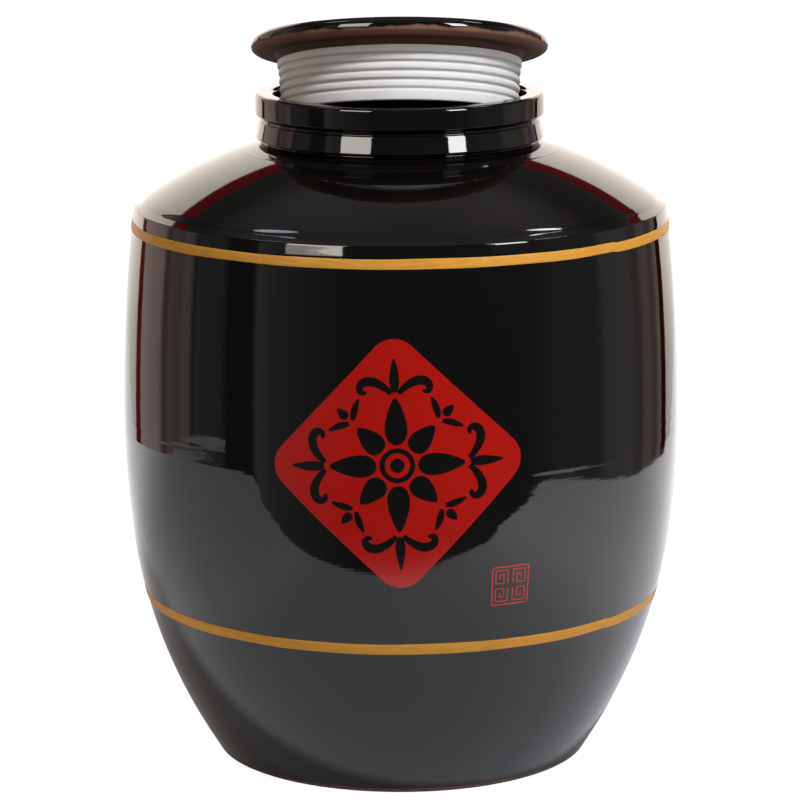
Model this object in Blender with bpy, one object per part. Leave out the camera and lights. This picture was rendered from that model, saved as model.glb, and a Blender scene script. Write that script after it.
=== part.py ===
# Glazed ceramic wine jar with its plug lid and silicone sealing ring.
# Units are metres. The jar stands on the XY plane with its axis on +Z and its front at -Y.
# The jar is thrown in three sections, body, shoulder and mouth, which are luted together and fired as one.
# The lid's disc and plug are luted too. It is tipped up at the front and rocks on the rear edge of the rim.

import math

import bmesh
import bpy

# Jar, outside
JAR_HEIGHT = 0.4290
BELLY_RADIUS = 0.1800
BELLY_HEIGHT = 0.2250
FOOT_RADIUS = 0.1200
FOOT_ROUNDING = 0.0030
LOWER_FULLNESS = 2.48
UPPER_FULLNESS = 1.92
SHOULDER_RADIUS = 0.1708
SHOULDER_DROP = 0.0720
SHOULDER_CROWN = 0.0042
SHOULDER_ROUNDING = 0.0110
NECK_ROOT_DROP = 0.0310
NECK_ROOT_STEP = 0.0055

# Jar, the two collars of the mouth, counted down from the rim
COLLAR_RADIUS = 0.0925
COLLAR_HEIGHT = 0.0125
COLLAR_BEVEL = 0.0035
COLLAR_ROUNDING = 0.0020
GROOVE_DEPTH = 0.0037
GROOVE_HEIGHT = 0.0015
LOWER_COLLAR_HEIGHT = 0.0095
LOWER_COLLAR_FLARE = 0.0025
LOWER_COLLAR_BEVEL = 0.0018

# Jar, inside and underside
BORE_RADIUS = 0.0805
BORE_LENGTH = 0.0415
BORE_ROUNDING = 0.0040
WALL = 0.0100
FLOOR_THICKNESS = 0.0140
FLOOR_ROUNDING = 0.0250
INNER_SHOULDER_ROUNDING = 0.0080
FOOT_RING_WIDTH = 0.0220
FOOT_RECESS = 0.0030

# Fired-on bands, a hair proud of the glaze
BAND_WIDTH = 0.0062
BAND_RELIEF = 0.0004
UPPER_BAND_HEIGHT = 0.3460
LOWER_BAND_HEIGHT = 0.1068

# Lid
LID_TILT = math.radians(14.5)
LID_OVERHANG = 0.0027
LID_SEAT_INSET = 0.0013
LID_LOWER_EDGE = 0.0022
LID_EDGE_HEIGHT = 0.0102
LID_EDGE_DRAW = 0.0034
LID_EDGE_ROUNDING = 0.0030
LID_LOWER_ROUNDING = 0.0010
LID_CROWN = 0.0060
LID_ROOT_DEPTH = 0.0042
LID_ROOT_SLOPE = 0.0018
PLUG_WALL = 0.0110
PLUG_LENGTH = 0.0340
PLUG_ROUNDING = 0.0020

# Sealing ring
RING_THICKNESS = 0.0062
RING_HEIGHT = 0.0345
FLANGE_HEIGHT = 0.0052
RIB_PITCH = 0.0055
RIB_COUNT = 4
RIB_DEPTH = 0.0012
RIB_UPPER_SLOPE = 0.0019
RIB_LOWER_SLOPE = 0.0014
SKIRT_STEP = 0.0005
SKIRT_SLOPE = 0.0028
RING_ROUNDING = 0.0008

# Clearances
SEAT_GAP = 0.0003
RING_GAP = 0.0003
FLANGE_CLEARANCE = 0.0019
RIB_CLEARANCE = 0.0030
SWING_CLEARANCE = 0.0004
ROOT_CLEARANCE = 0.0012
LUTING_GAP = 0.0001

# Smoothness
TURN_STEPS = 60
LOWER_WALL_STEPS = 12
UPPER_WALL_STEPS = 6
SHOULDER_STEPS = 6
INNER_LOWER_STEPS = 7
INNER_UPPER_STEPS = 3
INNER_SHOULDER_STEPS = 3
CROWN_STEPS = 5
ROUNDING_STEPS = 2
ROUNDING_REACH = 0.45
SHARP_ANGLE = math.radians(40)

# Levels and radii that follow from the sizes above
SHOULDER_LEVEL = JAR_HEIGHT - SHOULDER_DROP
NECK_ROOT_LEVEL = JAR_HEIGHT - NECK_ROOT_DROP
NECK_ROOT_RADIUS = COLLAR_RADIUS - NECK_ROOT_STEP
SHOULDER_FOOT = UPPER_BAND_HEIGHT - BAND_WIDTH
SEAT_LEVEL = JAR_HEIGHT + SEAT_GAP
PIVOT_OFFSET = COLLAR_RADIUS - LID_SEAT_INSET
LID_RADIUS = COLLAR_RADIUS + LID_OVERHANG
FLANGE_RADIUS = BORE_RADIUS - FLANGE_CLEARANCE
RING_TOP = -LID_ROOT_DEPTH - RING_GAP
RING_BOTTOM = RING_TOP - RING_HEIGHT


def rounded(corners, steps=ROUNDING_STEPS, closed=False):
    """Turn (radius, height, rounding) corners into points, with an arc at each rounded corner."""
    points = []
    count = len(corners)
    for index, (radius, height, rounding) in enumerate(corners):
        is_end = index in (0, count - 1) and not closed
        if rounding <= 0 or is_end:
            points.append((radius, height))
            continue
        before = corners[index - 1]
        after = corners[(index + 1) % count]
        in_r, in_z = before[0] - radius, before[1] - height
        out_r, out_z = after[0] - radius, after[1] - height
        in_length = math.hypot(in_r, in_z)
        out_length = math.hypot(out_r, out_z)
        cosine = (in_r * out_r + in_z * out_z) / (in_length * out_length)
        half = 0.5 * math.acos(max(-1.0, min(1.0, cosine)))
        tangent = min(rounding / math.tan(half), ROUNDING_REACH * in_length,
                      ROUNDING_REACH * out_length)
        start = (radius + in_r / in_length * tangent, height + in_z / in_length * tangent)
        end = (radius + out_r / out_length * tangent, height + out_z / out_length * tangent)
        arc_radius = tangent * math.tan(half)
        reach = math.hypot(tangent, arc_radius)
        mid_r = 0.5 * (start[0] + end[0]) - radius
        mid_z = 0.5 * (start[1] + end[1]) - height
        mid_length = math.hypot(mid_r, mid_z)
        centre = (radius + mid_r / mid_length * reach, height + mid_z / mid_length * reach)
        first = math.atan2(start[1] - centre[1], start[0] - centre[0])
        last = math.atan2(end[1] - centre[1], end[0] - centre[0])
        turn = (last - first + math.pi) % (2 * math.pi) - math.pi
        for step in range(steps + 1):
            angle = first + turn * step / steps
            points.append((centre[0] + arc_radius * math.cos(angle),
                           centre[1] + arc_radius * math.sin(angle)))
    return points


def wall_radius(height):
    """Outer radius of the jar's wall, from the foot up to the shoulder."""
    if height < BELLY_HEIGHT:
        share = (BELLY_HEIGHT - height) / BELLY_HEIGHT
        return BELLY_RADIUS - (BELLY_RADIUS - FOOT_RADIUS) * share ** LOWER_FULLNESS
    share = (height - BELLY_HEIGHT) / (SHOULDER_LEVEL - BELLY_HEIGHT)
    return BELLY_RADIUS - (BELLY_RADIUS - SHOULDER_RADIUS) * share ** UPPER_FULLNESS


def bow(start, end, crown, steps):
    """Points between two ends of a line that bulges up and out by crown, without the ends."""
    run_r, run_z = end[0] - start[0], end[1] - start[1]
    length = math.hypot(run_r, run_z)
    across = (run_z / length, -run_r / length)
    points = []
    for step in range(1, steps):
        share = step / steps
        lift = 4 * crown * share * (1 - share)
        points.append((start[0] + run_r * share + across[0] * lift,
                       start[1] + run_z * share + across[1] * lift))
    return points


def band_corners(middle):
    """Four corners of one fired-on band, from its lower edge to its upper edge."""
    low, high = middle - BAND_WIDTH / 2, middle + BAND_WIDTH / 2
    return [(wall_radius(low), low), (wall_radius(low) + BAND_RELIEF, low + BAND_RELIEF),
            (wall_radius(high) + BAND_RELIEF, high - BAND_RELIEF), (wall_radius(high), high)]


def spread(low, high, steps):
    """Heights from low to high in even steps, without the two ends."""
    return [low + (high - low) * step / steps for step in range(1, steps)]


def outer_wall():
    """Points of the outer wall from above the foot to below the shoulder's rounding."""
    lower = [(wall_radius(height), height)
             for height in spread(0.0, BELLY_HEIGHT, LOWER_WALL_STEPS)]
    upper = [(wall_radius(height), height)
             for height in spread(BELLY_HEIGHT, SHOULDER_LEVEL, UPPER_WALL_STEPS)]
    points = lower + [(BELLY_RADIUS, BELLY_HEIGHT)] + upper
    for middle in (LOWER_BAND_HEIGHT, UPPER_BAND_HEIGHT):
        points = [point for point in points if abs(point[1] - middle) > BAND_WIDTH]
        points += band_corners(middle)
    return sorted(points, key=lambda point: point[1])


def body_outline():
    """The body's section from the middle of its floor, over its top edge, to the middle of its base."""
    top = SHOULDER_FOOT - LUTING_GAP
    heights = spread(FLOOR_THICKNESS, BELLY_HEIGHT, INNER_LOWER_STEPS) + [BELLY_HEIGHT]
    heights += spread(BELLY_HEIGHT, top, INNER_UPPER_STEPS) + [top]
    floor_middle = (FOOT_RADIUS - FLOOR_ROUNDING - WALL) / 2
    ring_inside = FOOT_RADIUS - FOOT_RING_WIDTH
    corners = [(floor_middle, FLOOR_THICKNESS, 0),
               (wall_radius(FLOOR_THICKNESS) - WALL, FLOOR_THICKNESS, FLOOR_ROUNDING)]
    corners += [(wall_radius(height) - WALL, height, 0) for height in heights]
    corners += [(wall_radius(top), top, 0)]
    corners += [(*point, 0) for point in reversed(outer_wall()) if point[1] < top]
    corners += [(FOOT_RADIUS, 0.0, FOOT_ROUNDING),
                (ring_inside, 0.0, 0),
                (ring_inside - FOOT_RECESS, FOOT_RECESS, 0)]
    return rounded(corners)


def shoulder_outline():
    """The shoulder's closed section: wall under the upper band, rounded corner, dome and mouth hole."""
    foot = SHOULDER_FOOT
    inner_corner = (SHOULDER_RADIUS - WALL, SHOULDER_LEVEL - WALL)
    hole_foot = (BORE_RADIUS, JAR_HEIGHT - BORE_LENGTH)
    outer_corner = (SHOULDER_RADIUS, SHOULDER_LEVEL)
    root = (NECK_ROOT_RADIUS, NECK_ROOT_LEVEL)
    under = bow(inner_corner, hole_foot, SHOULDER_CROWN, INNER_SHOULDER_STEPS)
    over = bow(outer_corner, root, SHOULDER_CROWN, SHOULDER_STEPS)
    corners = [(wall_radius(foot), foot, 0),
               (wall_radius(foot) - WALL, foot, 0),
               (*inner_corner, INNER_SHOULDER_ROUNDING)]
    corners += [(*point, 0) for point in under]
    corners += [(*hole_foot, 0), (BORE_RADIUS, NECK_ROOT_LEVEL, 0), (*root, 0)]
    corners += [(*point, 0) for point in reversed(over)]
    corners += [(*outer_corner, SHOULDER_ROUNDING)]
    corners += [(*point, 0) for point in reversed(outer_wall()) if point[1] > foot]
    return rounded(corners, closed=True)


def mouth_outline():
    """The mouth's closed section: straight bore, rounded rim and the two collars over the root."""
    foot = NECK_ROOT_LEVEL + LUTING_GAP
    collar_foot = JAR_HEIGHT - COLLAR_HEIGHT
    groove_radius = COLLAR_RADIUS - GROOVE_DEPTH
    groove_top = collar_foot - COLLAR_BEVEL
    lower_top = groove_top - GROOVE_HEIGHT
    lower_foot = lower_top - LOWER_COLLAR_HEIGHT
    return rounded([
        (BORE_RADIUS, foot, 0.0),
        (BORE_RADIUS, JAR_HEIGHT, BORE_ROUNDING),
        (COLLAR_RADIUS, JAR_HEIGHT, COLLAR_ROUNDING),
        (COLLAR_RADIUS, collar_foot, 0.0),
        (groove_radius, groove_top, 0.0),
        (groove_radius, lower_top, 0.0),
        (COLLAR_RADIUS - LOWER_COLLAR_FLARE, lower_top, 0.0),
        (COLLAR_RADIUS, lower_foot, 0.0),
        (NECK_ROOT_RADIUS, lower_foot - LOWER_COLLAR_BEVEL, 0.0),
        (NECK_ROOT_RADIUS, foot, 0.0),
    ], closed=True)


def plug_radius():
    """Radius of the lid's plug, inside the sealing ring."""
    return FLANGE_RADIUS - RING_THICKNESS - RING_GAP


def lid_outline():
    """The lid's disc: crowned top, rounded edge and flat underside, from middle to middle."""
    crown_top = LID_EDGE_HEIGHT + LID_CROWN
    crown_edge = LID_RADIUS - LID_EDGE_DRAW
    corners = []
    for step in range(1, CROWN_STEPS):
        share = step / CROWN_STEPS
        corners.append((crown_edge * share, crown_top - LID_CROWN * share ** 2, 0))
    corners += [
        (crown_edge, LID_EDGE_HEIGHT, LID_EDGE_ROUNDING),
        (LID_RADIUS, (LID_EDGE_HEIGHT + LID_LOWER_EDGE) / 2, 0.0),
        (LID_RADIUS, LID_LOWER_EDGE, LID_LOWER_ROUNDING),
        (PIVOT_OFFSET, 0.0, 0.0),
        (plug_radius(), 0.0, 0.0),
    ]
    return rounded(corners)


def plug_outline():
    """The plug's closed section: sloping root under the disc and a straight hollow tube."""
    top = -LUTING_GAP
    root_top = BORE_RADIUS - ROOT_CLEARANCE
    foot = -LID_ROOT_DEPTH - PLUG_LENGTH
    hollow = plug_radius() - PLUG_WALL
    return rounded([
        (root_top, top, 0.0),
        (root_top - LID_ROOT_SLOPE, -LID_ROOT_DEPTH, 0.0),
        (plug_radius(), -LID_ROOT_DEPTH, 0.0),
        (plug_radius(), foot, PLUG_ROUNDING),
        (hollow, foot, PLUG_ROUNDING),
        (hollow, top, 0.0),
    ], closed=True)


def swing_radius(depth):
    """Largest radius at a depth below the seat that clears the bore while the lid rocks."""
    reach = PIVOT_OFFSET + BORE_RADIUS - SWING_CLEARANCE
    return math.sqrt(reach ** 2 - depth ** 2) - PIVOT_OFFSET


def ring_outline():
    """The sealing ring's closed section: flange, ribs, plain skirt and straight inner face."""
    inner = FLANGE_RADIUS - RING_THICKNESS
    level = RING_TOP
    corners = [(inner, RING_TOP, 0),
               (FLANGE_RADIUS, RING_TOP, RING_ROUNDING),
               (FLANGE_RADIUS, RING_TOP - FLANGE_HEIGHT, RING_ROUNDING)]
    level -= FLANGE_HEIGHT
    for _ in range(RIB_COUNT):
        foot = level - RIB_PITCH
        tip = min(BORE_RADIUS - RIB_CLEARANCE, swing_radius(foot))
        corners += [(tip - RIB_DEPTH, level, 0),
                    (tip, level - RIB_UPPER_SLOPE, 0),
                    (tip, foot + RIB_LOWER_SLOPE, 0)]
        level = foot
    skirt = swing_radius(RING_BOTTOM)
    corners += [(skirt - SKIRT_STEP, level, 0),
                (skirt, level - SKIRT_SLOPE, 0),
                (skirt, RING_BOTTOM, RING_ROUNDING),
                (inner, RING_BOTTOM, 0)]
    return rounded(corners, closed=True)


def material(name, colour, roughness, coat=0.0):
    """A Principled material with one plain colour."""
    made = bpy.data.materials.new(name)
    made.use_nodes = True
    shader = made.node_tree.nodes["Principled BSDF"]
    shader.inputs["Base Color"].default_value = (*colour, 1.0)
    shader.inputs["Roughness"].default_value = roughness
    shader.inputs["Metallic"].default_value = 0.0
    shader.inputs["Coat Weight"].default_value = coat
    made.diffuse_color = (*colour, 1.0)
    return made


def turned(name, outline, closed, finish):
    """Turn an outline about its own Z axis into one closed body."""
    mesh = bpy.data.meshes.new(name)
    shape = bmesh.new()
    ring = [shape.verts.new((radius, 0.0, height)) for radius, height in outline]
    edges = [shape.edges.new(pair) for pair in zip(ring, ring[1:])]
    if closed:
        edges.append(shape.edges.new((ring[-1], ring[0])))
    bmesh.ops.spin(shape, geom=ring + edges, cent=(0, 0, 0), axis=(0, 0, 1),
                   angle=2 * math.pi, steps=TURN_STEPS, use_merge=True)
    open_edges = [edge for edge in shape.edges if edge.is_boundary]
    if open_edges:
        bmesh.ops.holes_fill(shape, edges=open_edges, sides=TURN_STEPS)
    bmesh.ops.recalc_face_normals(shape, faces=shape.faces)
    shape.to_mesh(mesh)
    shape.free()
    mesh.shade_smooth()
    mesh.set_sharp_from_angle(angle=SHARP_ANGLE)
    mesh.materials.append(finish)
    made = bpy.data.objects.new(name, mesh)
    bpy.context.scene.collection.objects.link(made)
    return made


def build():
    """Remove what the scene holds and make the jar's sections, the ring and the lid."""
    for old in list(bpy.data.objects):
        bpy.data.objects.remove(old, do_unlink=True)

    black_glaze = material("black_glaze", (0.006, 0.005, 0.005), 0.08, coat=0.5)
    lid_glaze = material("lid_glaze", (0.008, 0.006, 0.006), 0.12, coat=0.3)
    white_silicone = material("white_silicone", (0.62, 0.60, 0.58), 0.45)
    bare_clay = material("bare_clay", (0.20, 0.12, 0.09), 0.75)

    turned("jar_body", body_outline(), False, black_glaze)
    turned("jar_shoulder", shoulder_outline(), True, black_glaze)
    turned("jar_mouth", mouth_outline(), True, black_glaze)

    hinge = bpy.data.objects.new("lid_hinge", None)
    bpy.context.scene.collection.objects.link(hinge)
    hinge.location = (0.0, PIVOT_OFFSET, SEAT_LEVEL)
    hinge.rotation_euler = (-LID_TILT, 0.0, 0.0)
    sealing_ring = turned("sealing_ring", ring_outline(), True, white_silicone)
    lid = turned("lid", lid_outline(), False, lid_glaze)
    lid_plug = turned("lid_plug", plug_outline(), True, bare_clay)
    for piece in (sealing_ring, lid, lid_plug):
        piece.parent = hinge
        piece.location = (0.0, -PIVOT_OFFSET, 0.0)


build()
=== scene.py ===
import math

import bpy
from mathutils import Matrix, Vector


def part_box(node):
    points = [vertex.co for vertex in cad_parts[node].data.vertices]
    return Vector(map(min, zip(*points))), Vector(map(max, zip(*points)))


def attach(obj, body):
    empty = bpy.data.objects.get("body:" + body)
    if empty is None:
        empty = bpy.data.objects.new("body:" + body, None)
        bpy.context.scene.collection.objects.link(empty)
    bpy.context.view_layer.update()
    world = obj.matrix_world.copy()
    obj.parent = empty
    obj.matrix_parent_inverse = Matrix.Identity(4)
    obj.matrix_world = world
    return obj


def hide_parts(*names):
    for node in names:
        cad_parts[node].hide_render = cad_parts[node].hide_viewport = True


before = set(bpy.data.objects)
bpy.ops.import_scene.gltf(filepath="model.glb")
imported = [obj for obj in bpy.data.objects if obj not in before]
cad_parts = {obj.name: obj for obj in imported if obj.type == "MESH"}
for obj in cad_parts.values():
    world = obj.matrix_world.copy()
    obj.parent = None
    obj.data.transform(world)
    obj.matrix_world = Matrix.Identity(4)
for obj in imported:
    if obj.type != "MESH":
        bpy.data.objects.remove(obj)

bl_info = {
    "name": "Ceramic wine jar",
    "version": (1, 0, 0),
    "blender": (4, 5, 0),
    "location": "View3D > Sidebar > Wine jar",
    "description": "Dresses a packed ceramic wine jar with glaze, enamels, lid and silicone ring",
    "category": "Object",
}

BODY_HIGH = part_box("jar_body")[1]
MOUTH_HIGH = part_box("jar_mouth")[1]
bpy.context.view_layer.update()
PHOTO_SIDE = 800

CREASE = math.radians(40)           # edges sharper than this stay sharp in the shading
ARC_STEPS = 5                       # steps of each rounded corner of the jar and the lid
RING_ARC_STEPS = 4                  # steps of each rounded corner of the ring
LID_STEPS = 240                     # steps round the lid and the ring
INSET = 0.0002                      # how far the glazed collars stay inside the CAD's collars
SINK = -0.0002                      # where a film's edge ends, inside the glaze
LONG_SIDE = 0.0018                  # sides longer than this get a point near both ends
SEAM_SPREAD = 0.016                 # how far the joint of the two halves swells up and down
LIP_RISE, LIP_SPREAD, LIP_SHARE = 0.0095, 0.0016, 0.15  # the faint lip above that joint
FINE_WAVE, SLOW_WAVE = 0.021, 0.094  # from one wave of the throwing up to the next
HIGHEST_WAVE = 7.5                  # what the waves can add up to, so that all go inwards
DOME_INSIDE, DOME_OUTSIDE = 0.0025, 0.0090  # how far the dome's curve ends from its two edges
DOME_FOOT_STEPS = 5                 # steps of the curve in which the dome falls to the ledge
DOME_FOOT_STEP = 0.0012
DOME_FOOT_TURN = math.radians(2.4)
BRUSH_STOP = math.radians(50.5)     # azimuth at which the bands' ends overlap


def length(name, description, default):
    """A size in metres that the user can change."""
    return bpy.props.FloatProperty(name=name, description=description, default=default,
                                   unit="LENGTH", precision=5)


def angle(name, description, degrees):
    """An angle that the user can change."""
    return bpy.props.FloatProperty(name=name, description=description,
                                   default=math.radians(degrees), subtype="ANGLE", unit="ROTATION")


def number(name, description, default):
    """A plain number that the user can change."""
    return bpy.props.FloatProperty(name=name, description=description, default=default)


def share(name, description, default):
    """A number from 0 to 1 that the user can change."""
    return bpy.props.FloatProperty(name=name, description=description, default=default,
                                   min=0.0, max=1.0, subtype="FACTOR")


def count(name, description, default):
    """A whole number that the user can change."""
    return bpy.props.IntProperty(name=name, description=description, default=default, min=1)


def colour(name, description, default):
    """A colour that the user can change."""
    return bpy.props.FloatVectorProperty(name=name, description=description, default=default,
                                         size=3, min=0.0, max=1.0, subtype="COLOR")


class WineJarWall(bpy.types.PropertyGroup):
    """Sizes of the jar's wall, shoulder and mouth."""

    rim_height: length("Rim height", "Height of the rim above the foot", MOUTH_HIGH.z)
    belly_radius: length("Belly radius", "Widest radius of the wall", BODY_HIGH.x)
    belly_height: length("Belly height", "Height of the widest place", 0.2250)
    enamel_room: length("Room for enamel", "How far the glaze stays inside the widest radius",
                        0.0005)
    foot_radius: length("Foot radius", "Radius at the foot", 0.1200)
    foot_round: length("Foot rounding", "Rounding of the foot's edge", 0.0030)
    foot_ring: length("Foot ring width", "Width of the ring that the jar stands on", 0.0220)
    foot_recess: length("Foot recess", "Depth of the recess under the base", 0.0030)
    bare_foot: length("Bare foot", "Height of the bare clay at the foot", 0.0030)
    lower_fullness: number("Lower fullness", "How full the wall is below the belly", 2.48)
    upper_fullness: number("Upper fullness", "How full the wall is above the belly", 1.92)
    shoulder_radius: length("Shoulder radius", "Radius where the wall turns into the shoulder",
                            0.1708)
    shoulder_drop: length("Shoulder drop", "Depth of the shoulder's corner under the rim", 0.0720)
    shoulder_crown: length("Shoulder crown", "Rise of the dome over a straight cone", 0.0042)
    root_drop: length("Neck root drop", "Depth of the dome's top under the rim", 0.0310)
    root_radius: length("Neck root radius", "Radius of the dome's top", 0.0870)
    collar_radius: length("Collar radius", "Radius of both collars", MOUTH_HIGH.x)
    collar_height: length("Collar height", "Height of the upper collar's face", 0.0135)
    collar_bevel: length("Collar bevel", "Height of the slope under the upper collar", 0.0025)
    collar_round: length("Collar rounding", "Rounding of the rim's outer edge", 0.0020)
    groove_depth: length("Groove depth", "Depth of the groove between the collars", 0.0037)
    groove_height: length("Groove height", "Height of the groove's floor", 0.0015)
    lower_collar_height: length("Lower collar height", "Height of the lower collar's face", 0.0112)
    lower_collar_flare: length("Lower collar flare", "How much wider the lower collar's foot is",
                               0.0025)
    bore_radius: length("Bore radius", "Inner radius of the mouth", 0.0805)
    bore_length: length("Bore length", "Length of the mouth's straight bore", 0.0415)
    bore_round: length("Bore rounding", "Rounding of the rim's inner edge", 0.0028)
    wall: length("Wall", "Thickness of the fired wall", 0.0100)
    floor: length("Floor", "Thickness of the jar's floor", 0.0140)
    floor_round: length("Floor rounding", "Rounding between floor and wall inside", 0.0250)
    turned_ring: length("Turned ring", "Height of the ring turned round the neck's foot", 0.00012)
    turned_ring_reach: length("Turned ring reach", "How far from the neck that ring is", 0.0145)
    turned_ring_width: length("Turned ring width", "Half width of that ring", 0.0005)
    seam_height: length("Seam height", "Height of the joint between the two thrown halves", 0.2150)
    seam_relief: length("Seam relief", "How far the joint stands out", 0.00030)
    ripple: length("Throwing ripple", "Height of the slow waves that throwing leaves", 0.000020)
    steps: count("Steps round", "Number of steps round the wall", 288)


class WineJarLid(bpy.types.PropertyGroup):
    """Sizes and tilt of the lid and the sealing ring."""

    tilt: angle("Tilt", "How far the lid is tipped up at the front", 14.5)
    seat_gap: length("Seat gap", "Gap between the rim and the lid's seat", 0.0003)
    radius: length("Lid radius", "Outer radius of the lid's disc", 0.0952)
    seat_radius: length("Seat radius", "Radius of the seat that rocks on the rim", 0.0912)
    lower_edge: length("Lower edge", "Height of the edge's foot over the seat", 0.0022)
    edge_height: length("Edge height", "Height of the edge's top over the seat", 0.0102)
    edge_draw: length("Edge draw", "How far the edge's top is drawn in", 0.0034)
    edge_round: length("Edge rounding", "Rounding of the edge's top", 0.0032)
    crown: length("Crown", "Rise of the lid's middle over its edge", 0.0060)
    root_radius: length("Root radius", "Radius of the root under the disc", 0.0793)
    root_slope: length("Root slope", "How much narrower the root's foot is", 0.0018)
    root_depth: length("Root depth", "Depth of the root under the seat", 0.0042)
    plug_radius: length("Plug radius", "Outer radius of the plug", 0.0721)
    plug_wall: length("Plug wall", "Thickness of the plug's wall", 0.0110)
    plug_length: length("Plug length", "Length of the plug below the root", 0.0340)
    plug_round: length("Plug rounding", "Rounding of the plug's foot", 0.0020)
    glaze_edge: length("Glaze edge", "Height over the seat at which the glaze ends", 0.0044)
    ring_radius: length("Ring radius", "Outer radius of the ring's flange", 0.0780)
    ring_inner: length("Ring inner radius", "Inner radius of the ring", 0.0724)
    ring_top: length("Ring top", "Depth of the ring's top under the seat", 0.0045)
    ring_height: length("Ring height", "Height of the ring", 0.0345)
    flange_height: length("Flange height", "Height of the ring's plain flange", 0.0052)
    rib_radius: length("Rib radius", "Outer radius of the ribs", 0.0774)
    rib_foot_radius: length("Lowest rib radius", "Outer radius at the ring's foot", 0.0759)
    rib_pitch: length("Rib pitch", "Height of one rib", 0.0055)
    rib_depth: length("Rib depth", "Depth of the grooves between ribs", 0.0020)
    rib_count: count("Rib count", "Number of ribs under the flange", 4)


class WineJarEnamel(bpy.types.PropertyGroup):
    """Sizes and places of the fired-on bands, diamond and square."""

    upper_band: length("Upper band height", "Middle of the upper band", 0.3460)
    upper_width: length("Upper band width", "Width of the upper band", 0.0060)
    lower_band: length("Lower band height", "Middle of the lower band", 0.1066)
    lower_width: length("Lower band width", "Width of the lower band", 0.0068)
    relief: length("Band relief", "How far the bands stand proud of the glaze", 0.0003)
    diamond_height: length("Diamond height", "Height of the diamond's middle", 0.2250)
    diamond_turn: angle("Diamond azimuth", "Azimuth of the diamond's middle", -0.7)
    diamond_side: length("Diamond half side", "Half the side of the rounded square", 0.0591)
    diamond_round: length("Diamond rounding", "Radius of the diamond's corners", 0.0160)
    diamond_lean: angle("Diamond lean", "How far the diamond leans to the left", 1.9)
    square_height: length("Square height", "Height of the small square's middle", 0.1460)
    square_turn: angle("Square azimuth", "Azimuth of the small square's middle", 22.3)
    square_side: length("Square half side", "Half the side of the small square", 0.0122)
    line_width: length("Line width", "Width of the small square's lines", 0.0011)
    film: length("Film thickness", "Thickness of one fired-on film", 0.00006)


class WineJarFinish(bpy.types.PropertyGroup):
    """Colours of the glaze, the enamels, the clay and the silicone."""

    glaze: colour("Glaze", "Black glaze", (0.0016, 0.0014, 0.0012))
    thin_glaze: colour("Thin glaze", "Black glaze where it runs thin", (0.010, 0.0035, 0.0028))
    glaze_gloss: share("Glaze roughness", "Roughness of the glaze", 0.035)
    gold: colour("Gold", "Ochre gold enamel", (0.50, 0.24, 0.034))
    gold_dark: colour("Gold in the streaks", "Ochre gold enamel where it is thin",
                      (0.36, 0.147, 0.017))
    red: colour("Red", "Red enamel", (0.325, 0.0040, 0.0010))
    ink: colour("Ink", "Black enamel of the ornament", (0.0020, 0.0018, 0.0016))
    clay: colour("Clay", "Bare stoneware", (0.155, 0.074, 0.050))
    # The dark clay tone serves the clay's random grain and also the painted shade under the lid's
    # disc.
    clay_grain_and_shade: colour("Dark clay", "Bare stoneware where it is flashed dark",
                      (0.055, 0.018, 0.011))
    silicone: colour("Silicone", "White silicone", (0.46, 0.445, 0.43))


class WineJarStage(bpy.types.PropertyGroup):
    """Camera, floor and lamps."""

    camera_distance: length("Camera distance", "Distance from the jar's axis", 2.3)
    camera_height: length("Camera height", "Height of the camera", 0.7142)
    camera_pitch: angle("Camera pitch", "How far the camera looks down", math.degrees(0.2086))
    camera_roll: angle("Camera roll", "How far the camera is turned about its own axis",
                       math.degrees(0.0037))
    neck_height: length("Aim of the lamps", "Height on the jar's axis that the lamps face", 0.36)
    floor_level: length("Floor level", "Height of the floor, a hair under the foot", -0.0004)
    lens: number("Lens", "Focal length in millimetres on a 36 mm sensor", 162.98)
    centre: number("Picture centre", "Column of the picture on the optical axis", 400.78)
    floor: colour("Floor", "Pale floor", (0.78, 0.79, 0.82))
    near_glow: share("Glow near the jar", "How far the camera sees the floor lifted to white", 0.86)
    far_glow: share("Glow far off", "How far it is lifted to white far behind the jar", 0.90)
    backdrop: colour("Backdrop", "Pale backdrop as reflections see it", (1.0, 0.90, 0.82))
    curtain: colour("Curtain", "Dark red cloth at the backdrop's edge", (0.27, 0.012, 0.016))
    room_strength: number("Room strength", "Strength of the room that lights and reflects", 1.25)


class Signal:
    """A shader socket on which Python's operators add Math nodes."""

    def __init__(self, shader, socket):
        self.shader = shader
        self.socket = socket

    def __add__(self, other):
        return self.shader.maths("ADD", self, other)

    __radd__ = __add__

    def __sub__(self, other):
        return self.shader.maths("SUBTRACT", self, other)

    def __rsub__(self, other):
        return self.shader.maths("SUBTRACT", other, self)

    def __mul__(self, other):
        return self.shader.maths("MULTIPLY", self, other)

    __rmul__ = __mul__

    def __truediv__(self, other):
        return self.shader.maths("DIVIDE", self, other)


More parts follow.
